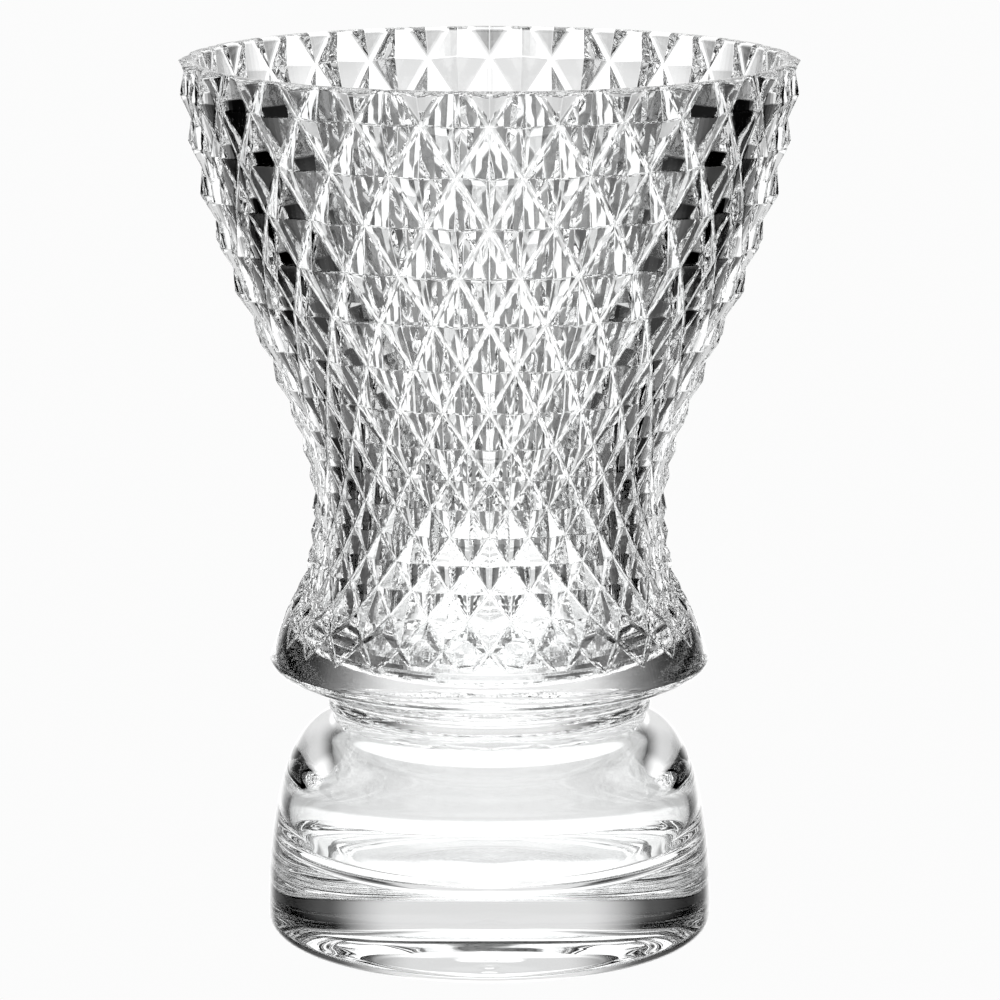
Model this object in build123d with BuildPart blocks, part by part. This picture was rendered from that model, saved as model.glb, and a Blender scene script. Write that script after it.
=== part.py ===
"""Cut crystal vase: a diamond-cut bowl fused through a thin merese to a blown foot that holds an air bubble.

Origin: centre of the foot's underside. +Z up. Millimetres.
The bowl is covered with four-sided pyramids, the points left between two families of V-grooves
that spiral opposite ways round the blank. Groove crossings are the low corners of the pyramids.
"""

import os
from math import cos, hypot, pi, radians, sin, tan, tanh

from build123d import *

# ---------------------------------------------------------------- driving dimensions
HEIGHT = 250.0

# bowl blank: (height, radius) of the uncut outside, from the foot of the cutting to the rim
BLANK = (
    (80.0, 62.2),
    (90.0, 58.6),
    (103.0, 53.1),
    (120.0, 50.4),
    (137.0, 52.1),
    (160.0, 60.5),
    (190.0, 73.5),
    (220.0, 82.9),
    (250.0, 87.7),
)

# diamond cutting
DIAMONDS_ROUND = 28
FULL_ROWS = 14  # rings of groove crossings cut to full depth below the rim
CUT_ROWS = 17  # and with those that run out of the blank
FIRST_ROW_Z = 254.6  # ring of crossings that falls just above the rim
ROW_PITCH_LOW = 7.37  # ring spacing at the waist and below
ROW_PITCH_HIGH = 13.97  # ring spacing at the rim
PITCH_MID_Z = 153.6  # height where the spacing is half-way between the two
PITCH_BLEND = 22.75  # height over which the spacing changes
FACET_SLOPE = 29.0  # degrees between a facet and the blank's surface
RIM_POINT_LIFT = 1.3  # the pyramids cut off by the rim are flatter: their points would stand this proud
RUN_OUT = (0.75, 1.05, 2.5)  # lift of the last rings out of the blank, in groove depths
SKIRT_R = 72.0  # plain lower part of the cutting body, clear of the bowl
SKIRT_Z = 60.0

# rim: (radius, height) of the polished lip, from outside to inside
LIP_OUTSIDE = ((87.7, 248.1), (86.8, 249.0), (85.3, 249.75), (84.0, 249.97))
LIP_CREST_R = 82.7
LIP_INSIDE = ((81.8, 249.75), (81.3, 249.2))
LIP_FOOT = (81.15, 248.4)

# inside of the bowl: (height, radius)
INSIDE = (
    (238.0, 79.2),
    (220.0, 75.0),
    (190.0, 65.9),
    (160.0, 52.9),
    (137.0, 44.3),
    (120.0, 42.4),
    (104.0, 43.5),
    (92.0, 45.5),
    (82.0, 43.5),
    (77.2, 36.0),
)
FLOOR_Z = 75.0
FLOOR_FLAT_R = 20.0

# flare and underside of the bowl
FLARE = ((46.6, 70.0), (49.5, 72.0), (54.0, 74.0), (59.8, 76.4), (61.6, 77.8), (62.3, 79.2))
LAND_TOP_Z = 96.0  # below this the blank shows between the ends of the grooves
CLEAR_Z = 99.5
CLEAR_TOP_Z = 246.5
CLEARANCE = 1.4  # gap between the turned shape and the pyramids' points in between
BOWL_SEAT_R = 45.2
MERESE_TOP_Z = 67.0

# merese
MERESE_R = 46.0
NECK_R = 44.6
NECK_Z = 64.7
NECK_CREASE = (44.7, 62.3)  # where the foot's shoulder meets its short neck
THROAT_R = 9.0  # hole left by the blowing iron in the top of the foot

# foot
FOOT_R = 63.3
FOOT_EDGE_ROUND = 4.6
FOOT_SIDE_Z = 10.0
PLUG_END_Z = 60.9  # level of the glass that seals the throat
PUNT = ((0.0, 6.0), (12.5, 5.64), (25.0, 4.56), (37.5, 2.76), (46.0, 0.96), (50.0, 0.0))  # hollow of the underside

# outline of the air bubble: (radius, height), from the middle of its raised floor out and up under the shoulder
BUBBLE_FLOOR = ((0.0, 30.0), (11.5, 29.55), (23.0, 28.15), (34.5, 25.86), (46.0, 22.6))
BUBBLE_EDGE = ((51.0, 23.0), (54.6, 25.2))
BUBBLE_ROOF = ((56.7, 29.0), (56.5, 35.0), (54.2, 42.0), (49.0, 48.5), (42.5, 53.7), (34.0, 58.0), (24.0, 60.4))

RING_STEP = 2 * pi / DIAMONDS_ROUND


# ---------------------------------------------------------------- the blank and the cutting
def slope_at(points, i):
    """Mean slope of the outline at one of its points."""
    low = max(i - 1, 0)
    high = min(i + 1, len(points) - 1)
    return (points[high][1] - points[low][1]) / (points[high][0] - points[low][0])


def blank_radius(z):
    """Radius of the uncut bowl at height z: a smooth curve through BLANK."""
    i = 0
    while i < len(BLANK) - 2 and z > BLANK[i + 1][0]:
        i += 1
    (z0, r0), (z1, r1) = BLANK[i], BLANK[i + 1]
    span = z1 - z0
    t = (z - z0) / span
    m0 = slope_at(BLANK, i) * span
    m1 = slope_at(BLANK, i + 1) * span
    return (
        (2 * t**3 - 3 * t**2 + 1) * r0
        + (t**3 - 2 * t**2 + t) * m0
        + (3 * t**2 - 2 * t**3) * r1
        + (t**3 - t**2) * m1
    )


def row_pitch(z):
    """Spacing of the rings of groove crossings near height z."""
    blend = 0.5 + 0.5 * tanh((z - PITCH_MID_Z) / PITCH_BLEND)
    return ROW_PITCH_LOW + (ROW_PITCH_HIGH - ROW_PITCH_LOW) * blend


def ring_heights():
    """Heights of the rings of groove crossings, from above the rim to the end of the cutting."""
    heights = [FIRST_ROW_Z]
    for _ in range(CUT_ROWS):
        z = heights[-1]
        heights.append(z - row_pitch(z - row_pitch(z) / 2))
    return heights


def groove_depth(z):
    """Depth of the grooves at height z, from the diamond's size there and the facet slope."""
    width = blank_radius(z) * RING_STEP
    height = 2 * row_pitch(z)
    between_grooves = width * height / hypot(width, height)
    return tan(radians(FACET_SLOPE)) * between_grooves / 2


def on_ring(radius, z, steps):
    """Point on a ring, a number of diamond widths round from the front."""
    angle = steps * RING_STEP
    return Vector(radius * sin(angle), -radius * cos(angle), z)


def cut_blank():
    """The cutting as one solid, with every facet as a flat triangle. It ends above the rim and below the bowl."""
    heights = ring_heights()
    last = len(heights) - 1
    crossings = []
    points = []
    for k, z in enumerate(heights):
        shift = 0.5 if k % 2 == 0 else 0.0
        z_cut = max(z, BLANK[0][0])
        radius = blank_radius(z_cut)
        depth = groove_depth(z_cut)
        lift = depth * RUN_OUT[k - FULL_ROWS - 1] if k > FULL_ROWS else 0.0
        point_lift = RIM_POINT_LIFT if k == 0 else lift
        crossings.append([on_ring(radius - depth + lift, z, j + shift) for j in range(DIAMONDS_ROUND)])
        points.append([on_ring(radius + point_lift, z, j + shift + 0.5) for j in range(DIAMONDS_ROUND)])
    faces = []
    for k in range(last + 1):
        for j in range(DIAMONDS_ROUND):
            left = crossings[k][j]
            right = crossings[k][(j + 1) % DIAMONDS_ROUND]
            point = points[k][j]
            beside = (j + (1 if k % 2 == 0 else 0)) % DIAMONDS_ROUND
            if k > 0:
                above = crossings[k - 1][beside]
                faces.append(Face(Wire.make_polygon([point, right, above])))
                faces.append(Face(Wire.make_polygon([point, above, left])))
            if k < last:
                below = crossings[k + 1][beside]
                faces.append(Face(Wire.make_polygon([point, left, below])))
                faces.append(Face(Wire.make_polygon([point, below, right])))
    # plain skirt under the last ring
    ring = []
    for j in range(DIAMONDS_ROUND):
        ring += [crossings[last][j], points[last][j]]
    skirt = [on_ring(SKIRT_R, SKIRT_Z, (j + 1) / 2) for j in range(2 * DIAMONDS_ROUND)]
    if last % 2 == 1:
        skirt = [on_ring(SKIRT_R, SKIRT_Z, j / 2) for j in range(2 * DIAMONDS_ROUND)]
    for i in range(2 * DIAMONDS_ROUND):
        after = (i + 1) % (2 * DIAMONDS_ROUND)
        faces.append(Face(Wire.make_polygon([ring[i], ring[after], skirt[i]])))
        faces.append(Face(Wire.make_polygon([ring[after], skirt[after], skirt[i]])))
    faces.append(Face(Wire.make_polygon(skirt)))
    ring = []
    for j in range(DIAMONDS_ROUND):
        ring += [crossings[0][j], points[0][j]]
    faces.append(Face(Wire.make_polygon(ring)))
    return Solid(Shell(faces))


facets = cut_blank()

# ---------------------------------------------------------------- bowl
with BuildPart() as cut_bowl:
    add(facets)
    # turned shape: smooth flare and underside, clear of the pyramids higher up, and the polished lip
    with BuildSketch(Plane.XZ):
        with BuildLine():
            Polyline((0, HEIGHT), (0, MERESE_TOP_Z), (BOWL_SEAT_R, MERESE_TOP_Z))
            Spline(
                (BOWL_SEAT_R, MERESE_TOP_Z),
                *FLARE,
                *[(blank_radius(z), z) for z in (82, 86, 90, 93, LAND_TOP_Z)],
            )
            Polyline(
                (blank_radius(LAND_TOP_Z), LAND_TOP_Z),
                (blank_radius(CLEAR_Z) + CLEARANCE, CLEAR_Z),
                *[(blank_radius(z) + CLEARANCE, z) for z in (120, 150, 190, 220)],
                (blank_radius(HEIGHT) + 2, CLEAR_TOP_Z),
                LIP_OUTSIDE[0],
            )
            Spline(*LIP_OUTSIDE, (LIP_CREST_R, HEIGHT))
            Line((LIP_CREST_R, HEIGHT), (0, HEIGHT))
        make_face()
    revolve(axis=Axis.Z, mode=Mode.INTERSECT)
    # inside
    with BuildSketch(Plane.XZ):
        with BuildLine():
            Line((0, HEIGHT + 1), (LIP_CREST_R, HEIGHT + 1))
            Line((LIP_CREST_R, HEIGHT + 1), (LIP_CREST_R, HEIGHT))
            Spline((LIP_CREST_R, HEIGHT), *LIP_INSIDE, LIP_FOOT)
            Spline(
                LIP_FOOT,
                *[(r, z) for z, r in INSIDE],
                (FLOOR_FLAT_R, FLOOR_Z),
                tangents=((-0.13, -1), (-1, 0)),
            )
            Polyline((FLOOR_FLAT_R, FLOOR_Z), (0, FLOOR_Z), (0, HEIGHT + 1))
        make_face()
    revolve(axis=Axis.Z, mode=Mode.SUBTRACT)

# ---------------------------------------------------------------- foot
with BuildPart() as bubble_foot:
    with BuildSketch(Plane.XZ):
        with BuildLine():
            Spline(*PUNT, tangents=((1, 0), (1, -0.26)))
            Line(PUNT[-1], (FOOT_R - FOOT_EDGE_ROUND, 0))
            RadiusArc(
                (FOOT_R - FOOT_EDGE_ROUND, 0),
                (FOOT_R, FOOT_EDGE_ROUND),
                -FOOT_EDGE_ROUND,
            )
            Line((FOOT_R, FOOT_EDGE_ROUND), (FOOT_R, FOOT_SIDE_Z))
            Spline(
                (FOOT_R, FOOT_SIDE_Z),
                (61.8, 30.0),
                (58.8, 45.0),
                (54.6, 54.5),
                (50.6, 59.0),
                NECK_CREASE,
                tangents=((0, 1), (-1, 0.5)),
            )
            Polyline(NECK_CREASE, (NECK_R, NECK_Z), (0, NECK_Z), PUNT[0])
        make_face()
    revolve(axis=Axis.Z)
    # the air bubble: raised floor, rounded edge, and a roof that keeps to the shoulder's shape
    with BuildSketch(Plane.XZ):
        with BuildLine():
            Spline(*BUBBLE_FLOOR, *BUBBLE_EDGE, *BUBBLE_ROOF, (THROAT_R, PLUG_END_Z), tangents=((1, 0), (-1, 0)))
            Polyline((THROAT_R, PLUG_END_Z), (0, PLUG_END_Z), BUBBLE_FLOOR[0])
        make_face()
    revolve(axis=Axis.Z, mode=Mode.SUBTRACT)
    # throat left by the blowing iron
    with BuildSketch(Plane.XY.offset(NECK_Z)):
        Circle(THROAT_R)
    extrude(amount=PLUG_END_Z - NECK_Z, mode=Mode.SUBTRACT)

# ---------------------------------------------------------------- merese
with BuildPart() as neck_merese:
    # thin disc between the two hot-worked pieces
    with BuildSketch(Plane.XZ):
        with BuildLine():
            Line((0, NECK_Z), (NECK_R, NECK_Z))
            ThreePointArc(
                (NECK_R, NECK_Z),
                (MERESE_R, (NECK_Z + MERESE_TOP_Z) / 2),
                (BOWL_SEAT_R, MERESE_TOP_Z),
            )
            Polyline((BOWL_SEAT_R, MERESE_TOP_Z), (0, MERESE_TOP_Z), (0, NECK_Z))
        make_face()
    revolve(axis=Axis.Z)
    # plug of glass that seals the throat, level with the bubble's roof
    with BuildSketch(Plane.XY.offset(NECK_Z)):
        Circle(THROAT_R)
    extrude(amount=PLUG_END_Z - NECK_Z)

# ---------------------------------------------------------------- export
os.makedirs("parts", exist_ok=True)
cut_bowl.part.label = "cut_bowl"
neck_merese.part.label = "neck_merese"
bubble_foot.part.label = "bubble_foot"
export_step(cut_bowl.part, "parts/cut_bowl.step")
export_step(neck_merese.part, "parts/neck_merese.step")
export_step(bubble_foot.part, "parts/bubble_foot.step")
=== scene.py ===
"""Looks of the cut crystal vase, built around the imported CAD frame.

Every length is worked out in millimetres, as in part.py, and goes into the meshes in metres.
The bowl is one closed glass body: what a turned shape (lip, inside, flare, underside) has in common with a
polyhedron of planar facets, whose grooves have a polished floor and whose ridges are softened.
"""

import math

import bmesh
import bpy
import numpy as np
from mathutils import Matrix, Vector


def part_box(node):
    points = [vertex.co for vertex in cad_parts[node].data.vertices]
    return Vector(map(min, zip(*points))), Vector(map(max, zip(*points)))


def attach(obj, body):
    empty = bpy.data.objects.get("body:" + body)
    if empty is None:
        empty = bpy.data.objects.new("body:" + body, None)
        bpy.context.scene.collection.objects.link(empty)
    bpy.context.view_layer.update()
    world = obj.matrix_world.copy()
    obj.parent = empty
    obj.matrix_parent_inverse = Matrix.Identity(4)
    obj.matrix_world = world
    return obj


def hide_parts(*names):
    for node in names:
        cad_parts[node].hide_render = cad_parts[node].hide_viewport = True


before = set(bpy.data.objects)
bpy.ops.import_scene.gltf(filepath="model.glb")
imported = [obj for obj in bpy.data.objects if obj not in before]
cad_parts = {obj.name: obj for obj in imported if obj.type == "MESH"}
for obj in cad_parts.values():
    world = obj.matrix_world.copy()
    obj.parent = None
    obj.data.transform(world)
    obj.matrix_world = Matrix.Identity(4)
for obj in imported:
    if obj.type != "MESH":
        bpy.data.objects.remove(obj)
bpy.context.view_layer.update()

# ---------------------------------------------------------------- where the frame says the pieces are
MM = 0.001
bowl_low, bowl_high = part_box("cut_bowl")
foot_low, foot_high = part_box("bubble_foot")
AXIS_X = (foot_low[0] + foot_high[0]) / 2
AXIS_Y = (foot_low[1] + foot_high[1]) / 2
BASE_Z = foot_low[2]
HEIGHT = (bowl_high[2] - BASE_Z) / MM
NECK_Z = (foot_high[2] - BASE_Z) / MM
MERESE_TOP_Z = (bowl_low[2] - BASE_Z) / MM
FOOT_R = (foot_high[0] - foot_low[0]) / 2 / MM

# ---------------------------------------------------------------- the bowl's blank and its cutting
# (height, radius) of the uncut outside, from the foot of the cutting to the rim
BLANK = (
    (80.0, 62.2),
    (90.0, 58.6),
    (103.0, 53.1),
    (120.0, 50.4),
    (137.0, 52.1),
    (160.0, 60.5),
    (190.0, 73.5),
    (220.0, 82.9),
    (250.0, 87.7),
)
DIAMONDS_ROUND = 28
FIRST_ROW_Z = 254.6  # ring of crossings that falls just above the rim
ROW_PITCH_LOW = 7.37  # ring spacing at the waist and below
ROW_PITCH_HIGH = 13.97  # ring spacing at the rim
PITCH_MID_Z = 153.6  # height where the spacing is half-way between the two
PITCH_BLEND = 22.75  # height over which the spacing changes
FACET_SLOPE = 29.0  # degrees between a facet and the blank's surface
RING_STEP = 2 * math.pi / DIAMONDS_ROUND
LAST_FULL_RING = 14  # last ring of crossings cut to full depth
LAST_RING = 17  # first ring that stands wholly clear of the blank
RIM_POINT_LIFT = 1.3  # the pyramids cut off by the rim are flatter: their points would stand this proud
# lifts of the last rings out of the blank, in groove depths
FIRST_RUN_OUT = 0.75  # first ring that runs out, crossings and points
RUN_OUT = 1.05  # crossings of the second one
SIDE_RUN_OUT = 0.2  # less at the two sides, where the grooves run lower
UNEVEN_RUN_OUT = 0.08  # more and less from groove to groove, as handwork is
UNEVEN_STEP = 5.1  # radians of that unevenness from one groove to the next
UNEVEN_START = 1.3
POINT_RUN_OUT = 1.4  # points of the second one
CLEAR_RUN_OUT = 2.5  # the ring that stands clear
GLASS, SOFT_EDGE, TURNED, SEAM = range(4)  # kinds of face: planar facet, softened edge, turned, fused
GROOVE_FLOOR = 0.065  # half-width of a groove's polished floor, as a share of the distance between grooves
RIDGE_SOFT = 0.022  # half-width of a softened ridge, as a share of the same


def slope_at(points, i):
    low = max(i - 1, 0)
    high = min(i + 1, len(points) - 1)
    return (points[high][1] - points[low][1]) / (points[high][0] - points[low][0])


def blank_radius(z):
    i = 0
    while i < len(BLANK) - 2 and z > BLANK[i + 1][0]:
        i += 1
    (z0, r0), (z1, r1) = BLANK[i], BLANK[i + 1]
    span = z1 - z0
    t = (z - z0) / span
    m0 = slope_at(BLANK, i) * span
    m1 = slope_at(BLANK, i + 1) * span
    return (
        (2 * t**3 - 3 * t**2 + 1) * r0
        + (t**3 - 2 * t**2 + t) * m0
        + (3 * t**2 - 2 * t**3) * r1
        + (t**3 - t**2) * m1
    )


def row_pitch(z):
    blend = 0.5 + 0.5 * math.tanh((z - PITCH_MID_Z) / PITCH_BLEND)
    return ROW_PITCH_LOW + (ROW_PITCH_HIGH - ROW_PITCH_LOW) * blend


def ring_heights():
    heights = [FIRST_ROW_Z]
    for _ in range(LAST_RING):
        z = heights[-1]
        heights.append(z - row_pitch(z - row_pitch(z) / 2))
    return heights


def between_grooves(z):
    width = blank_radius(z) * RING_STEP
    height = 2 * row_pitch(z)
    return width * height / math.hypot(width, height)


TAN_SLOPE = math.tan(math.radians(FACET_SLOPE))
HEIGHTS = ring_heights()


def on_ring(radius, z, steps):
    angle = steps * RING_STEP
    return np.array([radius * math.sin(angle), -radius * math.cos(angle), z])


def within_blank(z):
    return min(max(z, BLANK[0][0]), BLANK[-1][0])


def outward(p):
    """Blank's outward normal near a point of the cutting."""
    z = within_blank(p[2])
    lean = 0.0
    if BLANK[0][0] + 0.5 < z < BLANK[-1][0] - 0.5:
        lean = blank_radius(z + 0.5) - blank_radius(z - 0.5)
    flat = np.array([p[0], p[1], 0.0])
    flat /= np.linalg.norm(flat)
    n = flat - np.array([0.0, 0.0, lean])
    return n / np.linalg.norm(n)


def lattice():
    """Crossings (low corners) and points (apexes) of every ring."""
    crossings = []
    points = []
    for k, z in enumerate(HEIGHTS):
        shift = 0.5 if k % 2 == 0 else 0.0
        r = blank_radius(max(z, BLANK[0][0]))
        deep = TAN_SLOPE * between_grooves(max(z, BLANK[0][0])) / 2
        ring_c = []
        ring_p = []
        for j in range(DIAMONDS_ROUND):
            crossing_lift = 0.0
            point_lift = 0.0
            if k == 0:
                point_lift = RIM_POINT_LIFT
            if k == LAST_FULL_RING + 1:
                crossing_lift = FIRST_RUN_OUT * deep
                point_lift = FIRST_RUN_OUT * deep
            if k == LAST_FULL_RING + 2:
                side = math.sin((j + shift) * RING_STEP) ** 2
                uneven = math.sin(UNEVEN_STEP * j + UNEVEN_START)
                crossing_lift = (RUN_OUT - SIDE_RUN_OUT * side + UNEVEN_RUN_OUT * uneven) * deep
                point_lift = POINT_RUN_OUT * deep
            if k > LAST_FULL_RING + 2:
                crossing_lift = CLEAR_RUN_OUT * deep
                point_lift = CLEAR_RUN_OUT * deep
            ring_c.append(on_ring(r - deep + crossing_lift, z, j + shift))
            ring_p.append(on_ring(r + point_lift, z, j + shift + 0.5))
        crossings.append(ring_c)
        points.append(ring_p)
    return crossings, points


# rows run parallel to the groove, from its floor (0) to the apex (0.5); columns are offsets from the ridges
A_FLOOR = (0.0, GROOVE_FLOOR / 2, GROOVE_FLOOR)
EDGE = (0.0, RIDGE_SOFT / 2, RIDGE_SOFT)


def facet_point(apex, left, right, a, t):
    """Point of one facet: a is the distance from the groove and t the way along it, in cells."""
    p = 2 * a * apex + (1 - a - t) * left + (t - a) * right
    n = outward(p)
    unit = TAN_SLOPE * between_grooves(within_blank(p[2]))
    rise = 0.0
    if a < GROOVE_FLOOR:
        rise += GROOVE_FLOOR * 0.5 * (1 + (a / GROOVE_FLOOR) ** 2) - a
    for e in (t - a, 1 - a - t):
        if e < RIDGE_SOFT:
            rise -= (RIDGE_SOFT - max(e, 0.0)) ** 2 / (4 * RIDGE_SOFT)
    return p + n * (unit * rise)


def add_facet(verts, faces, kinds, apex, left, right):
    """One planar facet with its half of the groove's floor and of its two ridges."""

    def row(a):
        ts = [a + e for e in EDGE] + [1 - a - e for e in reversed(EDGE)]
        out = []
        for t in ts:
            verts.append(facet_point(apex, left, right, a, t))
            out.append(len(verts) - 1)
        return out

    rows = [row(a) for a in A_FLOOR]
    for low, high in zip(rows, rows[1:]):
        for c in range(5):
            faces.append([low[c], low[c + 1], high[c + 1], high[c]])
            kinds.append(SOFT_EDGE)
    base = rows[-1]
    a_in = 0.5 - RIDGE_SOFT
    near = []
    for e in EDGE:
        verts.append(facet_point(apex, left, right, a_in, a_in + e))
        near.append(len(verts) - 1)
    for e in EDGE[1::-1]:
        verts.append(facet_point(apex, left, right, a_in, 1 - a_in - e))
        near.append(len(verts) - 1)
    verts.append(facet_point(apex, left, right, 0.5, 0.5))
    tip = len(verts) - 1
    faces.append([base[2], base[3], near[2]])
    kinds.append(GLASS)
    for c in (0, 1):
        faces.append([base[c], base[c + 1], near[c + 1], near[c]])
        kinds.append(SOFT_EDGE)
    for c in (3, 4):
        faces.append([base[c], base[c + 1], near[c], near[c - 1]])
        kinds.append(SOFT_EDGE)
    for c in range(4):
        faces.append([near[c], near[c + 1], tip])
        kinds.append(SOFT_EDGE)


def cutting():
    """The skin of the cutting, open at both ends: (vertices, faces, kinds)."""
    crossings, points = lattice()
    verts, faces, kinds = [], [], []
    n = DIAMONDS_ROUND
    for k in range(LAST_RING + 1):
        for j in range(n):
            left = crossings[k][j]
            right = crossings[k][(j + 1) % n]
            apex = points[k][j]
            beside = (j + (1 if k % 2 == 0 else 0)) % n
            if k > 0:
                above = crossings[k - 1][beside]
                add_facet(verts, faces, kinds, apex, right, above)
                add_facet(verts, faces, kinds, apex, above, left)
            if k < LAST_RING:
                below = crossings[k + 1][beside]
                add_facet(verts, faces, kinds, apex, left, below)
                add_facet(verts, faces, kinds, apex, below, right)
    return verts, faces, kinds


# ---------------------------------------------------------------- turned shapes
TINY = 1e-6


def curve(points, steps=8):
    """Smooth line through points: a centripetal Catmull-Rom spline."""
    p = np.array(points, float)
    p = np.vstack([2 * p[0] - p[1], p, 2 * p[-1] - p[-2]])
    out = []
    for i in range(1, len(p) - 2):
        q = p[i - 1 : i + 3]
        knots = [0.0]
        for a, b in zip(q, q[1:]):
            knots.append(knots[-1] + max(np.linalg.norm(b - a), TINY) ** 0.5)
        t0, t1, t2, t3 = knots
        for t in np.linspace(t1, t2, steps, endpoint=False):
            a1 = (t1 - t) / (t1 - t0) * q[0] + (t - t0) / (t1 - t0) * q[1]
            a2 = (t2 - t) / (t2 - t1) * q[1] + (t - t1) / (t2 - t1) * q[2]
            a3 = (t3 - t) / (t3 - t2) * q[2] + (t - t2) / (t3 - t2) * q[3]
            b1 = (t2 - t) / (t2 - t0) * a1 + (t - t0) / (t2 - t0) * a2
            b2 = (t3 - t) / (t3 - t1) * a2 + (t - t1) / (t3 - t1) * a3
            out.append(tuple((t2 - t) / (t2 - t1) * b1 + (t - t1) / (t2 - t1) * b2))
    out.append(tuple(p[-2]))
    return out


def arc(centre, radius, start, end, steps=8):
    """Arc in the (radius, height) plane, angles in degrees from the outward direction."""
    out = []
    for angle in np.linspace(math.radians(start), math.radians(end), steps):
        out.append((centre[0] + radius * math.cos(angle), centre[1] + radius * math.sin(angle)))
    return out


def line(*points):
    return list(points)


def join(*parts):
    """Pieces of outline that run smoothly into each other."""
    out = list(parts[0])
    for part in parts[1:]:
        if math.dist(out[-1], part[0]) < TINY:
            part = part[1:]
        out += part
    return out


def outline_normals(points):
    """Unit normals of an outline, to the right of its direction: outside, where it runs anticlockwise."""
    p = np.array(points, float)
    d = np.diff(p, axis=0)
    length = np.linalg.norm(d, axis=1)
    d /= length[:, None]
    t = np.zeros_like(p)
    t[:-1] += d / length[:, None]
    t[1:] += d / length[:, None]
    t[0] = d[0]
    t[-1] = d[-1]
    t /= np.linalg.norm(t, axis=1)[:, None]
    n = np.stack([t[:, 1], -t[:, 0]], axis=1)
    for i, r in enumerate(p[:, 0]):
        if r < TINY:
            n[i] = (0.0, math.copysign(1.0, n[i][1]))
    return n


FIRST_MERIDIAN = 0.37  # of a segment, so that no meridian lies along a row of crossings


def turned(sections, segments):
    """Turned body from sections [(outline, kind)]: vertices, faces, kinds, a normal for every corner."""
    verts, faces, kinds, normals = [], [], [], []
    angles = [2 * math.pi * (s + FIRST_MERIDIAN) / segments for s in range(segments)]
    ring_of = {}

    def ring(point):
        key = (round(point[0], 5), round(point[1], 5))
        if key not in ring_of:
            r, z = point
            start = len(verts)
            if r < TINY:
                verts.append(np.array([0.0, 0.0, z]))
                ring_of[key] = [start] * segments
            else:
                for a in angles:
                    verts.append(np.array([r * math.sin(a), -r * math.cos(a), z]))
                ring_of[key] = list(range(start, start + segments))
        return ring_of[key]

    for outline, kind in sections:
        flat = outline_normals(outline)
        for i in range(len(outline) - 1):
            low, high = ring(outline[i]), ring(outline[i + 1])
            n_low, n_high = flat[i], flat[i + 1]
            for s in range(segments):
                s2 = (s + 1) % segments
                corners = (
                    (low[s], s, n_low),
                    (low[s2], s2, n_low),
                    (high[s2], s2, n_high),
                    (high[s], s, n_high),
                )
                used = []
                seen = set()
                for v, side, n in corners:
                    if v not in seen:
                        seen.add(v)
                        used.append((v, side, n))
                if len(used) < 3:
                    continue
                faces.append([v for v, _, _ in used])
                kinds.append(kind)
                for _, side, n in used:
                    a = angles[side]
                    normals.append((n[0] * math.sin(a), -n[0] * math.cos(a), n[1]))
    return verts, faces, kinds, normals


def placed(verts):
    return [(AXIS_X + v[0] * MM, AXIS_Y + v[1] * MM, BASE_Z + v[2] * MM) for v in verts]


def new_mesh(name, verts, faces, kinds, normals=None):
    mesh = bpy.data.meshes.new(name)
    mesh.from_pydata(placed(verts), [], faces)
    mesh.polygons.foreach_set("material_index", kinds)
    mesh.polygons.foreach_set("use_smooth", [True] * len(faces))
    if normals is not None:
        mesh.normals_split_custom_set(normals)
    mesh.update()
    obj = bpy.data.objects.new(name, mesh)
    bpy.context.scene.collection.objects.link(obj)
    return obj


# ---------------------------------------------------------------- materials
CRYSTAL_IOR = 1.545
STRIAE_TINT = (0.975, 0.985, 0.985, 1.0)
CLEAR_TINT = (1.0, 1.0, 1.0, 1.0)
STRIAE_SPREAD = 3  # striae are this much wider than the ripple
STRIAE_TWIST = 1.5


def crystal(name, ripple_scale, ripple):
    """Clear lead crystal, with the faint ripple that polishing leaves and faint striae in its colour.

    ripple_scale is the number of ripples to a metre, ripple their height in metres.
    """
    mat = bpy.data.materials.new(name)
    mat.use_nodes = True
    nodes = mat.node_tree.nodes
    links = mat.node_tree.links
    bsdf = nodes["Principled BSDF"]
    bsdf.inputs["Roughness"].default_value = 0.0
    bsdf.inputs["IOR"].default_value = CRYSTAL_IOR
    bsdf.inputs["Transmission Weight"].default_value = 1.0
    coord = nodes.new("ShaderNodeTexCoord")
    noise = nodes.new("ShaderNodeTexNoise")
    noise.inputs["Scale"].default_value = ripple_scale
    noise.inputs["Detail"].default_value = 1.0
    links.new(coord.outputs["Object"], noise.inputs["Vector"])
    bump = nodes.new("ShaderNodeBump")
    bump.inputs["Strength"].default_value = 1.0
    bump.inputs["Distance"].default_value = ripple
    links.new(noise.outputs["Fac"], bump.inputs["Height"])
    links.new(bump.outputs["Normal"], bsdf.inputs["Normal"])
    striae = nodes.new("ShaderNodeTexNoise")
    striae.inputs["Scale"].default_value = ripple_scale / STRIAE_SPREAD
    striae.inputs["Distortion"].default_value = STRIAE_TWIST
    links.new(coord.outputs["Object"], striae.inputs["Vector"])
    tint = nodes.new("ShaderNodeValToRGB")
    tint.color_ramp.elements[0].color = STRIAE_TINT
    tint.color_ramp.elements[1].color = CLEAR_TINT
    links.new(striae.outputs["Fac"], tint.inputs["Fac"])
    links.new(tint.outputs["Color"], bsdf.inputs["Base Color"])
    return mat


def see_through(name):
    """Where two pieces are fused there is no surface left to see."""
    mat = bpy.data.materials.new(name)
    mat.use_nodes = True
    bsdf = mat.node_tree.nodes["Principled BSDF"]
    bsdf.inputs["Alpha"].default_value = 0.0
    return mat


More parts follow.
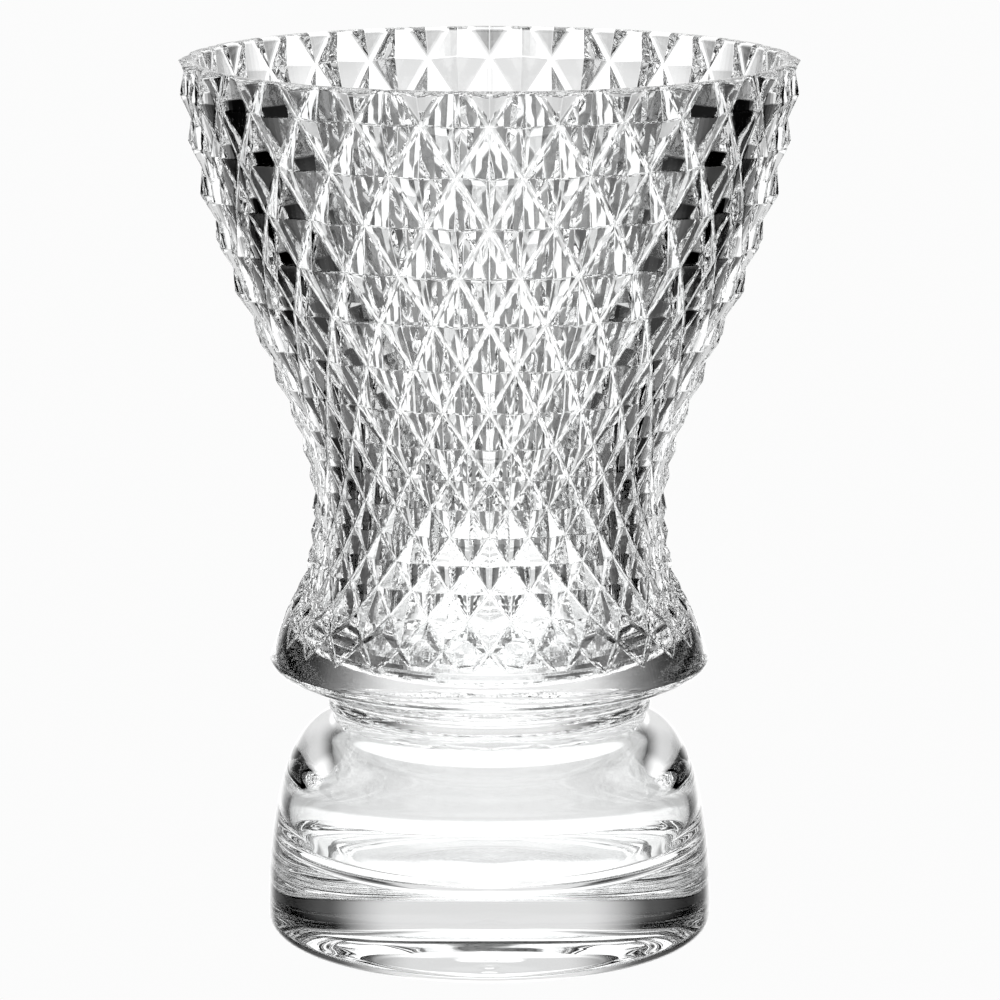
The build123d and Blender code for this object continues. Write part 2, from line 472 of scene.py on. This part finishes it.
CUT_RIPPLES = 240.0
CUT_RIPPLE_HEIGHT = 0.00001
CLEAR_RIPPLES = 55.0
CLEAR_RIPPLE_HEIGHT = 0.00004
cut_glass = crystal("cut_crystal", CUT_RIPPLES, CUT_RIPPLE_HEIGHT)
clear_glass = crystal("clear_crystal", CLEAR_RIPPLES, CLEAR_RIPPLE_HEIGHT)
seam = see_through("fused_seam")

# ---------------------------------------------------------------- outlines, (radius, height)
BOWL_SEAT_R = 45.2  # bowl's narrow end, on the merese
MERESE_R = 46.0  # merese at the middle of its bulge
NECK_R = 44.6
NECK_CREASE = (44.7, 62.3)  # where the shoulder meets the neck
THROAT_R = 9.0
PLUG_END_Z = 60.9  # the plug in the throat ends here, on top of the bubble

# bowl
FLOOR_Z = 75.0
LAND_LOW_Z = 81.0  # the plain polished land below the cutting
LAND_TOP_Z = 96.0
CLEARANCE = 1.4  # from the land up the turned shape stands this much clear of the cutting
CLEAR_LOW_Z = 99.5
CLEAR_HIGH_Z = 244.0
CLEAR_STEP = 6.0
CLEAR_TOP = (89.6, 246.5)
lower_blank = [(blank_radius(z), z) for z in np.arange(LAND_LOW_Z, LAND_TOP_Z + 0.5, 1.0)]
clear_of_cut = [
    (blank_radius(z) + CLEARANCE, z) for z in np.arange(CLEAR_LOW_Z, CLEAR_HIGH_Z, CLEAR_STEP)
]
FLARE = ((46.6, 70.0), (49.5, 72.0), (54.0, 74.0), (59.8, 76.4), (61.6, 77.8), (62.3, 79.2))
LIP_OUTSIDE = ((87.7, 248.1), (86.8, 249.0), (85.3, 249.75), (84.0, 249.97))
LIP_CREST = (82.7, HEIGHT)
LIP_INSIDE = ((81.8, 249.75), (81.3, 249.2))
LIP_FOOT = (81.15, 248.4)
INSIDE = (
    (79.2, 238.0),
    (75.0, 220.0),
    (65.9, 190.0),
    (52.9, 160.0),
    (44.3, 137.0),
    (42.4, 120.0),
    (43.5, 104.0),
    (45.5, 92.0),
    (43.5, 82.0),
    (36.0, 77.2),
)
FLOOR_FLAT = ((20.0, FLOOR_Z), (0.0, FLOOR_Z))
bowl_underside = curve([(BOWL_SEAT_R, MERESE_TOP_Z), *FLARE, lower_blank[0]], 6)
lip_outside = curve([*LIP_OUTSIDE, LIP_CREST], 5)
lip_inside = curve([LIP_CREST, *LIP_INSIDE, LIP_FOOT], 4)
bowl_inside = curve([LIP_FOOT, *INSIDE, *FLOOR_FLAT], 7)
bowl_sections = [
    (line((0.0, MERESE_TOP_Z), (BOWL_SEAT_R, MERESE_TOP_Z)), SEAM),
    (join(bowl_underside, lower_blank), TURNED),
    (line(lower_blank[-1], *clear_of_cut, CLEAR_TOP), TURNED),
    (join([CLEAR_TOP], lip_outside, lip_inside, bowl_inside), TURNED),
]

# foot, with its hollowed underside
FOOT_EDGE_ROUND = 4.6
FOOT_STRAIGHT_Z = 9.0
PUNT = ((0.0, 6.0), (12.5, 5.64), (25.0, 4.56), (37.5, 2.76), (46.0, 0.96), (50.0, 0.0))
SHOULDER = ((62.9, 19.0), (61.7, 30.0), (58.7, 45.0), (54.6, 54.5), (50.6, 59.0))
edge_centre = (FOOT_R - FOOT_EDGE_ROUND, FOOT_EDGE_ROUND)
foot_outside = join(
    arc(edge_centre, FOOT_EDGE_ROUND, -90, 0, 12),
    line((FOOT_R, FOOT_EDGE_ROUND), (FOOT_R, FOOT_STRAIGHT_Z)),
    curve([(FOOT_R, FOOT_STRAIGHT_Z), *SHOULDER, NECK_CREASE], 8),
)
foot_sections = [
    (curve(PUNT, 8), TURNED),
    (line(PUNT[-1], (FOOT_R - FOOT_EDGE_ROUND, 0.0)), TURNED),
    (foot_outside, TURNED),
    (line(NECK_CREASE, (NECK_R, NECK_Z)), TURNED),
    (line((NECK_R, NECK_Z), (THROAT_R, NECK_Z)), SEAM),
    (line((THROAT_R, NECK_Z), (THROAT_R, PLUG_END_Z)), SEAM),
]

# air bubble in the foot: floor, rounded edge, and roof that follows the shoulder
BUBBLE_FLOOR = ((0.0, 30.0), (11.5, 29.55), (23.0, 28.15), (34.5, 25.86), (46.0, 22.6))
BUBBLE_EDGE = ((51.0, 23.0), (54.6, 25.2))
BUBBLE_ROOF = (
    (56.7, 29.0),
    (56.5, 35.0),
    (54.2, 42.0),
    (49.0, 48.5),
    (42.5, 53.7),
    (34.0, 58.0),
    (24.0, 60.4),
)
bubble_floor = curve(BUBBLE_FLOOR, 8)
bubble_edge = curve([BUBBLE_FLOOR[-1], *BUBBLE_EDGE, BUBBLE_ROOF[0]], 8)
bubble_roof = curve([*BUBBLE_ROOF, (THROAT_R, PLUG_END_Z)], 8)
bubble_sections = [(join(bubble_floor, bubble_edge, bubble_roof), TURNED)]

# merese, with the plug in the foot's throat
MERESE_MID_Z = (NECK_Z + MERESE_TOP_Z) / 2
merese_sections = [
    (line((0.0, PLUG_END_Z), (THROAT_R, PLUG_END_Z)), TURNED),
    (line((THROAT_R, PLUG_END_Z), (THROAT_R, NECK_Z)), SEAM),
    (line((THROAT_R, NECK_Z), (NECK_R, NECK_Z)), SEAM),
    (curve([(NECK_R, NECK_Z), (MERESE_R, MERESE_MID_Z), (BOWL_SEAT_R, MERESE_TOP_Z)], 6), TURNED),
    (line((BOWL_SEAT_R, MERESE_TOP_Z), (0.0, MERESE_TOP_Z)), SEAM),
]


def fetch(items, what, width, dtype):
    """One property of every item of a mesh collection, as an array."""
    values = np.zeros(len(items) * width, dtype=dtype)
    items.foreach_get(what, values)
    return values if width == 1 else values.reshape(-1, width)


def finish_kinds(obj, glass):
    """Kinds become material slots: the glass, and the fused seam where there is one."""
    mesh = obj.data
    kinds = fetch(mesh.polygons, "material_index", 1, np.int32)
    mesh.materials.clear()
    mesh.materials.append(glass)
    mesh.materials.append(seam)
    mesh.polygons.foreach_set("material_index", np.where(kinds == SEAM, 1, 0).astype(np.int32))
    mesh.update()


# ---------------------------------------------------------------- bowl
SAME_PLACE = 2e-7  # metres
NO_AREA = 1e-12  # square metres; smaller sums of facet normals don't count
NO_LENGTH = 1e-20  # keeps a length from being zero where it divides
NO_RADIUS = 1e-9  # metres, the same for a radius
CHUNK = 4000  # faces looked up at a time
BOWL_SEGMENTS = 280
FOOT_SEGMENTS = 256
MIDDLE_Z = 150.0  # the cutting's open ends lie above and below this height
SKIRT_R = 72.0
SKIRT_Z = 58.0


def weld(obj):
    """Joins the facets and closes both ends, the lower one by a skirt that is clear of the bowl."""
    bm = bmesh.new()
    bm.from_mesh(obj.data)
    bmesh.ops.remove_doubles(bm, verts=bm.verts, dist=SAME_PLACE)
    edges = [e for e in bm.edges if e.is_boundary]
    middle = BASE_Z + MIDDLE_Z * MM
    for side in (1, -1):
        rim = [e for e in edges if (e.verts[0].co.z - middle) * side > 0]
        if side < 0:
            out = bmesh.ops.extrude_edge_only(bm, edges=rim)
            rim = [g for g in out["geom"] if isinstance(g, bmesh.types.BMEdge) and g.is_boundary]
            for v in {v for e in rim for v in e.verts}:
                flat = Vector((v.co.x - AXIS_X, v.co.y - AXIS_Y, 0)).normalized() * SKIRT_R * MM
                v.co = Vector((AXIS_X + flat.x, AXIS_Y + flat.y, BASE_Z + SKIRT_Z * MM))
        z = sum(e.verts[0].co.z for e in rim) / len(rim)
        centre = bm.verts.new((AXIS_X, AXIS_Y, z))
        for e in rim:
            bm.faces.new((e.verts[0], e.verts[1], centre)).material_index = SOFT_EDGE
    bmesh.ops.recalc_face_normals(bm, faces=bm.faces)
    bm.to_mesh(obj.data)
    bm.free()


def common(first, second):
    """The body that both have; the kinds of its faces stay what they were."""
    for obj in (first, second):
        obj.data.materials.clear()
        for mat in (cut_glass, cut_glass, cut_glass, seam):
            obj.data.materials.append(mat)
    mod = first.modifiers.new("common", "BOOLEAN")
    mod.operation = "INTERSECT"
    mod.object = second
    mod.solver = "EXACT"
    mod.material_mode = "INDEX"
    graph = bpy.context.evaluated_depsgraph_get()
    graph.update()
    mesh = bpy.data.meshes.new_from_object(first.evaluated_get(graph))
    first.modifiers.remove(mod)
    first.data = mesh
    bpy.data.objects.remove(second)
    return first


def section_lookup(sections):
    """Every stretch of the turned outline, for finding the outline's normal next to a point."""
    rows = []
    for outline, _ in sections:
        n = outline_normals(outline)
        for i in range(len(outline) - 1):
            rows.append((*outline[i], *outline[i + 1], *n[i], *n[i + 1]))
    return np.array(rows)


def soft_normals(corner_kind, corner_vert, corner_weight, vert_count):
    """A normal for every vertex: that of its facets, or of the softened edge where it has none."""
    facet_sum = np.zeros((vert_count, 3))
    soft_sum = np.zeros((vert_count, 3))
    for kind, total in ((GLASS, facet_sum), (SOFT_EDGE, soft_sum)):
        chosen = corner_kind == kind
        np.add.at(total, corner_vert[chosen], corner_weight[chosen])
    has_facet = np.linalg.norm(facet_sum, axis=1) > NO_AREA
    out = np.where(has_facet[:, None], facet_sum, soft_sum)
    return out / np.maximum(np.linalg.norm(out, axis=1), NO_LENGTH)[:, None]


def flattened(places):
    """Radius and height, in millimetres, of places in metres."""
    radius = np.hypot(places[:, 0] - AXIS_X, places[:, 1] - AXIS_Y)
    return np.stack([radius / MM, (places[:, 2] - BASE_Z) / MM], axis=1)


def turned_normals(centres, corners, face_of_corner, sections):
    """Each corner takes its normal from the stretch of outline nearest to the middle of its face."""
    rows = section_lookup(sections)
    start = rows[:, 0:2]
    along = rows[:, 2:4] - start
    length_squared = (along**2).sum(1)
    middles = flattened(centres)
    nearest = np.zeros(len(middles), dtype=int)
    for first in range(0, len(middles), CHUNK):
        p = middles[first : first + CHUNK, None, :]
        t = np.clip(((p - start) * along).sum(2) / length_squared, 0, 1)
        gap = p - (start + t[..., None] * along)
        nearest[first : first + CHUNK] = (gap**2).sum(2).argmin(1)
    row = nearest[face_of_corner]
    t = np.clip(((flattened(corners) - start[row]) * along[row]).sum(1) / length_squared[row], 0, 1)[:, None]
    flat = rows[row, 4:6] * (1 - t) + rows[row, 6:8] * t
    flat /= np.linalg.norm(flat, axis=1)[:, None]
    away = corners[:, :2] - (AXIS_X, AXIS_Y)
    away /= np.maximum(np.linalg.norm(away, axis=1), NO_RADIUS)[:, None]
    return np.stack([away[:, 0] * flat[:, 0], away[:, 1] * flat[:, 0], flat[:, 1]], axis=1)


def bowl_normals(obj, sections):
    """Facets shade flat, softened edges blend them, turned surfaces take their outline's normal."""
    mesh = obj.data
    kinds = fetch(mesh.polygons, "material_index", 1, np.int32)
    areas = fetch(mesh.polygons, "area", 1, np.float32)
    face_normals = fetch(mesh.polygons, "normal", 3, np.float32)
    centres = fetch(mesh.polygons, "center", 3, np.float32)
    corner_counts = fetch(mesh.polygons, "loop_total", 1, np.int32)
    corner_vert = fetch(mesh.loops, "vertex_index", 1, np.int32)
    places = fetch(mesh.vertices, "co", 3, np.float32)
    corner_face = np.repeat(np.arange(len(kinds)), corner_counts)
    corner_kind = kinds[corner_face]
    normals = face_normals[corner_face]

    soft = corner_kind == SOFT_EDGE
    weights = (areas[:, None] * face_normals)[corner_face]
    normals[soft] = soft_normals(corner_kind, corner_vert, weights, len(places))[corner_vert[soft]]

    on_turned = corner_kind == TURNED
    turned_index = np.cumsum(kinds == TURNED) - 1
    normals[on_turned] = turned_normals(
        centres[kinds == TURNED],
        places[corner_vert[on_turned]],
        turned_index[corner_face[on_turned]],
        sections,
    )
    mesh.polygons.foreach_set("use_smooth", [True] * len(kinds))
    mesh.normals_split_custom_set([tuple(n) for n in normals])
    mesh.update()


facets = new_mesh("bowl_cutting", *cutting())
weld(facets)
verts, faces, kinds, _ = turned(bowl_sections, BOWL_SEGMENTS)
turning = new_mesh("bowl_turning", verts, faces, kinds)
bowl = common(facets, turning)
bowl.name = "bowl_glass"
bowl_normals(bowl, bowl_sections)
finish_kinds(bowl, cut_glass)
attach(bowl, "root")
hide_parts("cut_bowl")

# ---------------------------------------------------------------- merese and foot
merese = new_mesh("merese_glass", *turned(merese_sections, FOOT_SEGMENTS))
finish_kinds(merese, clear_glass)
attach(merese, "root")
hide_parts("neck_merese")


def flipped(sections):
    """A hollow's outline runs the other way round, so that its surface faces into the hollow."""
    return [(list(reversed(outline)), kind) for outline, kind in reversed(sections)]


foot = new_mesh("foot_glass", *turned(foot_sections + flipped(bubble_sections), FOOT_SEGMENTS))
finish_kinds(foot, clear_glass)
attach(foot, "root")
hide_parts("bubble_foot")

# ---------------------------------------------------------------- floor
FLOOR_HALF = 4.0  # metres
FLOOR_GAP = 0.0003
FLOOR_BRIGHTNESS = 0.97
floor_mesh = bpy.data.meshes.new("floor")
floor_corners = [
    (x * FLOOR_HALF, y * FLOOR_HALF, BASE_Z - FLOOR_GAP) for x, y in ((-1, -1), (1, -1), (1, 1), (-1, 1))
]
floor_mesh.from_pydata(floor_corners, [], [(0, 1, 2, 3)])
floor = bpy.data.objects.new("floor", floor_mesh)
bpy.context.scene.collection.objects.link(floor)
floor_mat = bpy.data.materials.new("floor_white")
floor_mat.use_nodes = True
floor_bsdf = floor_mat.node_tree.nodes["Principled BSDF"]
floor_bsdf.inputs["Base Color"].default_value = (0.0, 0.0, 0.0, 1.0)
floor_bsdf.inputs["Specular IOR Level"].default_value = 0.0
floor_bsdf.inputs["Emission Color"].default_value = (1.0, 1.0, 1.0, 1.0)
floor_bsdf.inputs["Emission Strength"].default_value = FLOOR_BRIGHTNESS
floor_mesh.materials.append(floor_mat)
# what the glass shows of the table comes from the lower half of the studio light
floor.visible_transmission = False
floor.visible_glossy = False
floor.visible_diffuse = False

# ---------------------------------------------------------------- light: soft white panels, dark gaps between
# each panel: azimuth from and to, on either side of the backdrop's middle; elevation from and to; brightness
PANELS = (
    (0, 25, -90, -3, 1.28),
    (0, 25, -3, 25, 0.80),
    (0, 25, 25, 90, 1.5),
    (25, 42, -90, -8, 0.24),
    (25, 42, -8, 20, 0.08),
    (42, 62, -48, -30, 0.2),
    (62, 95, -60, -30, 0.08),
    (27, 80, 50, 90, 0.85),
    (27, 180, -90, -60, 0.80),
    (84, 112, -20, 8, 0.1),
    (84, 112, 8, 50, 1.25),
    (112, 180, 14, 90, 1.55),
    (140, 180, -4, 14, 0.3),
    (112, 180, -60, -36, 1.25),
)
SOFT_AROUND = 9.0  # half-width of a panel's soft edge, degrees, across its sides
SOFT_UPRIGHT = 3.0  # and across its top and bottom

world = bpy.data.worlds.new("studio")
bpy.context.scene.world = world
world.use_nodes = True
wn = world.node_tree
wn.nodes.clear()


def wmath(operation, a, b=None):
    node = wn.nodes.new("ShaderNodeMath")
    node.operation = operation
    for i, value in enumerate((a, b)):
        if value is None:
            continue
        if isinstance(value, (int, float)):
            node.inputs[i].default_value = value
        else:
            wn.links.new(value, node.inputs[i])
    return node.outputs[0]


def step_up(value, edge, soft):
    """Rises smoothly from 0 to 1 across an edge, in degrees."""
    node = wn.nodes.new("ShaderNodeMapRange")
    node.interpolation_type = "SMOOTHSTEP"
    wn.links.new(value, node.inputs["Value"])
    node.inputs["From Min"].default_value = math.radians(edge - soft)
    node.inputs["From Max"].default_value = math.radians(edge + soft)
    return node.outputs[0]


def window(value, low, high, floor_end, top_end, soft):
    """1 between two edges and 0 outside them; no edge at the ends of the range."""
    out = 1.0
    if low > floor_end:
        out = step_up(value, low, soft)
    if high < top_end:
        out = wmath("SUBTRACT", out, step_up(value, high, soft))
    return out


coords = wn.nodes.new("ShaderNodeTexCoord")
split = wn.nodes.new("ShaderNodeSeparateXYZ")
wn.links.new(coords.outputs["Generated"], split.inputs[0])
azimuth = wmath("ARCTAN2", wmath("ABSOLUTE", split.outputs[0]), split.outputs[1])
elevation = wmath("ARCSINE", split.outputs[2])
tone = 0.0
for az_low, az_high, el_low, el_high, brightness in PANELS:
    across = window(azimuth, az_low, az_high, 0, 180, SOFT_AROUND)
    upright = window(elevation, el_low, el_high, -90, 90, SOFT_UPRIGHT)
    tone = wmath("ADD", tone, wmath("MULTIPLY", wmath("MULTIPLY", across, upright), brightness))
path = wn.nodes.new("ShaderNodeLightPath")
tone = wmath("MAXIMUM", tone, path.outputs["Is Camera Ray"])
background = wn.nodes.new("ShaderNodeBackground")
wn.links.new(tone, background.inputs["Strength"])
background.inputs["Color"].default_value = (1.0, 1.0, 1.0, 1.0)
world_out = wn.nodes.new("ShaderNodeOutputWorld")
wn.links.new(background.outputs[0], world_out.inputs[0])

# ---------------------------------------------------------------- camera
CAMERA_LENS = 180.18  # millimetres, on a frame 36 mm wide
CAMERA_SHIFT = 0.0105
CAMERA_BACK = 1.390  # metres in front of the vase's axis
CAMERA_UP = 0.402  # metres above the table
CAMERA_DOWN = 11.3  # degrees
camera_data = bpy.data.cameras.new("camera")
camera = bpy.data.objects.new("camera", camera_data)
bpy.context.scene.collection.objects.link(camera)
camera_data.sensor_width = 36.0
camera_data.lens = CAMERA_LENS
camera_data.shift_x = CAMERA_SHIFT
camera_data.clip_end = 50.0
camera.location = (AXIS_X, AXIS_Y - CAMERA_BACK, BASE_Z + CAMERA_UP)
camera.rotation_euler = (math.radians(90 - CAMERA_DOWN), 0.0, 0.0)
scene = bpy.context.scene
scene.camera = camera
scene.view_settings.view_transform = "Standard"
scene.cycles.max_bounces = 32
scene.cycles.transmission_bounces = 32
scene.cycles.glossy_bounces = 16
scene.cycles.transparent_max_bounces = 48
scene.cycles.use_denoising = True
